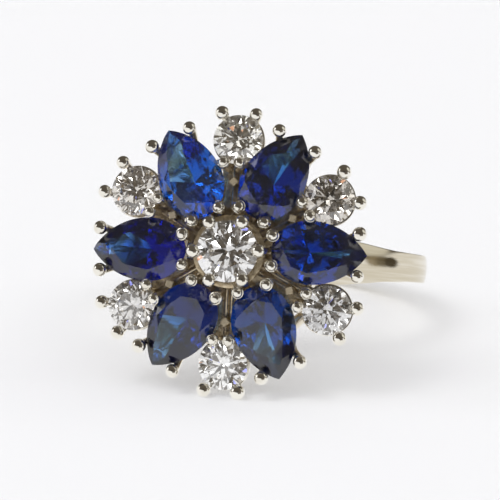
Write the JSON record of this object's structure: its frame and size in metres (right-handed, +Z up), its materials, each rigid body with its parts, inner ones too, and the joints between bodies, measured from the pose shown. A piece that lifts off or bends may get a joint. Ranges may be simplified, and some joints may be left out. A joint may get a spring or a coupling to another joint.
{
  "type": "gemstone cluster ring",
  "caption": "Flower cluster finger ring with pear-shaped blue sapphires and round diamonds in ball-ended claws over a wire gallery and a tapering shank.",
  "frame": {"origin": "on the surface that the ring lies on, under the middle of its bounding box", "axes": "+Z up as the ring lies on its side, -Y the way the flower faces, +X across the hand; the finger's axis leans back from +Z in the YZ plane"},
  "size_m": [0.0201, 0.028, 0.0174],
  "materials": {
    "white_gold": "polished white gold with fine wear scratches",
    "sapphire": "faceted deep blue sapphire",
    "diamond": "faceted colourless diamond"
  },
  "bodies": {
    "root": {"mount": "white_gold", "centre_diamond": "diamond", "sapphire_1": "sapphire", "sapphire_2": "sapphire", "sapphire_3": "sapphire", "sapphire_4": "sapphire", "sapphire_5": "sapphire", "sapphire_6": "sapphire", "outer_diamond_1": "diamond", "outer_diamond_2": "diamond", "outer_diamond_3": "diamond", "outer_diamond_4": "diamond", "outer_diamond_5": "diamond", "outer_diamond_6": "diamond"}
  },
  "joints": []
}
